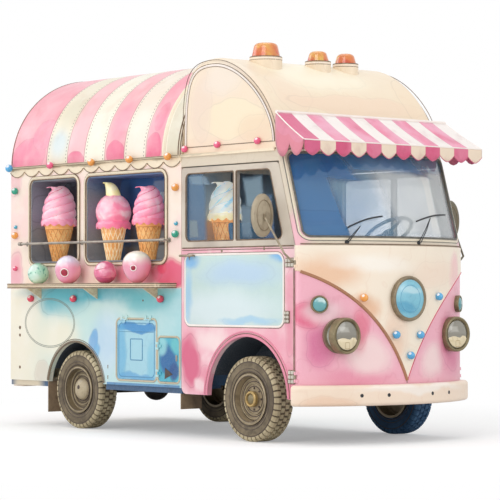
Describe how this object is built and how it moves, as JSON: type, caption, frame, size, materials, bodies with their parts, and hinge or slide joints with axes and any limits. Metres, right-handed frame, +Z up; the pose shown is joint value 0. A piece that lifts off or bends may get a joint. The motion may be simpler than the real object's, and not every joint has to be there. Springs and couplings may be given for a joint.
{
  "type": "ice cream truck",
  "caption": "Rounded forward-control ice cream truck with a barrel-roofed serving box, counter, striped awning, cab doors, hatches and steered wheels.",
  "frame": {"origin": "on the ground under the middle of the truck's bounding box", "axes": "+X forward, +Y to the vehicle's left, +Z up"},
  "size_m": [4.232, 2.2088, 3.117],
  "materials": {
    "chassis_black": "satin",
    "floor_grey": "satin",
    "body_pink": "gloss",
    "body_cream": "gloss",
    "body_aqua": "gloss",
    "roof_stripe": "gloss",
    "roof_cream": "gloss",
    "trim_cream": "satin",
    "bay_lining": "satin",
    "tinted_glass": "polished",
    "clear_glass": "polished",
    "counter_top": "satin",
    "tube_steel": "satin",
    "wafer": "satin",
    "treat": "gloss",
    "awning_cloth": "matte",
    "amber": "gloss",
    "bronze": "satin",
    "lamp_glass": "polished",
    "badge_blue": "gloss",
    "bumper_cream": "gloss",
    "rubber_black": "matte",
    "tyre": "matte",
    "rim_bronze": "satin",
    "seat_leather": "satin",
    "dash": "satin",
    "engine_iron": "matte",
    "axle_steel": "satin",
    "exhaust_steel": "satin"
  },
  "bodies": {
    "body": {"chassis_frame": "chassis_black", "floor_pan": "floor_grey", "engine_block": "engine_iron", "exhaust": "exhaust_steel", "front_axle": "axle_steel", "rear_axle": "axle_steel", "mudflaps": "rubber_black", "box_side_right": "body_aqua", "box_side_left": "body_aqua", "box_rear_wall": "body_cream", "bulkhead": "body_cream", "box_roof": "roof_stripe", "gutter_fascia": "trim_cream", "window_bays": "bay_lining", "serving_glass": "tinted_glass", "window_frames": "trim_cream", "serving_counter": "counter_top", "serving_rail": "tube_steel", "display_cones": "wafer", "counter_treats": "treat", "front_side_panels": "body_pink", "front_v_panel": "body_cream", "cab_upper_frame": "body_pink", "windscreen_glass": "clear_glass", "cab_roof": "roof_cream", "beacon_bases": "bronze", "beacon_domes": "amber", "awning_canopy": "awning_cloth", "awning_frame": "tube_steel", "bumpers": "bumper_cream", "lamp_bodies": "bronze", "lamp_lenses": "lamp_glass", "front_badge": "badge_blue", "dashboard": "dash", "seats": "seat_leather"},
    "door_right": {"door_right": "body_pink", "door_glass_right": "clear_glass", "door_hardware_right": "bronze"},
    "knuckle_right": {"knuckle_right": "axle_steel"},
    "wheel_front_right": {"rim_front_right": "rim_bronze", "tyre_front_right": "tyre"},
    "wheel_rear_right": {"rim_rear_right": "rim_bronze", "tyre_rear_right": "tyre"},
    "door_left": {"door_left": "body_pink", "door_glass_left": "clear_glass", "door_hardware_left": "bronze"},
    "knuckle_left": {"knuckle_left": "axle_steel"},
    "wheel_front_left": {"rim_front_left": "rim_bronze", "tyre_front_left": "tyre"},
    "wheel_rear_left": {"rim_rear_left": "rim_bronze", "tyre_rear_left": "tyre"},
    "rear_door": {"rear_door": "body_pink"},
    "service_hatch": {"service_hatch": "body_aqua"},
    "filler_flap": {"filler_flap": "body_aqua"},
    "steering_wheel": {"steering_wheel": "dash"}
  },
  "joints": [
    {"name": "door_right_hinge", "type": "hinge", "parent": "body", "child": "door_right", "pos_m": [1.74791, -0.869, 1.375], "axis": [0, 0, 1], "range_deg": [0, 70]},
    {"name": "door_left_hinge", "type": "hinge", "parent": "body", "child": "door_left", "pos_m": [1.74791, 0.869, 1.375], "axis": [0, 0, -1], "range_deg": [0, 70]},
    {"name": "rear_door_hinge", "type": "hinge", "parent": "body", "child": "rear_door", "pos_m": [-2.063, 0.38, 1.3], "axis": [0, 0, -1], "range_deg": [0, 100]},
    {"name": "service_hatch_hinge", "type": "hinge", "parent": "body", "child": "service_hatch", "pos_m": [-0.2275, -0.869, 0.93], "axis": [-1, 0, 0], "range_deg": [0, 80]},
    {"name": "filler_flap_hinge", "type": "hinge", "parent": "body", "child": "filler_flap", "pos_m": [0.073, -0.869, 0.6], "axis": [0, 0, -1], "range_deg": [0, 90]},
    {"name": "steer_left", "type": "hinge", "parent": "body", "child": "knuckle_left", "pos_m": [1.176, 0.64, 0.32], "axis": [0, 0, 1], "range_deg": [-28, 28]},
    {"name": "steer_right", "type": "hinge", "parent": "body", "child": "knuckle_right", "pos_m": [1.176, -0.64, 0.32], "axis": [0, 0, 1], "range_deg": [-28, 28]},
    {"name": "steering_wheel_turn", "type": "hinge", "parent": "body", "child": "steering_wheel", "pos_m": [1.54, 0.29, 1.62], "axis": [-0.5736, 0, 0.8192], "range_deg": [-336, 336]},
    {"name": "wheel_front_right_spin", "type": "hinge", "parent": "knuckle_right", "child": "wheel_front_right", "pos_m": [1.176, -0.745, 0.33], "axis": [0, 1, 0], "continuous": true},
    {"name": "wheel_front_left_spin", "type": "hinge", "parent": "knuckle_left", "child": "wheel_front_left", "pos_m": [1.176, 0.745, 0.33], "axis": [0, 1, 0], "continuous": true},
    {"name": "wheel_rear_right_spin", "type": "hinge", "parent": "body", "child": "wheel_rear_right", "pos_m": [-1.077, -0.745, 0.33], "axis": [0, 1, 0], "continuous": true},
    {"name": "wheel_rear_left_spin", "type": "hinge", "parent": "body", "child": "wheel_rear_left", "pos_m": [-1.077, 0.745, 0.33], "axis": [0, 1, 0], "continuous": true}
  ],
  "couplings": [
    {"joint": "steer_right", "follows": "steer_left", "ratio": 1},
    {"joint": "steering_wheel_turn", "follows": "steer_left", "ratio": 12}
  ]
}
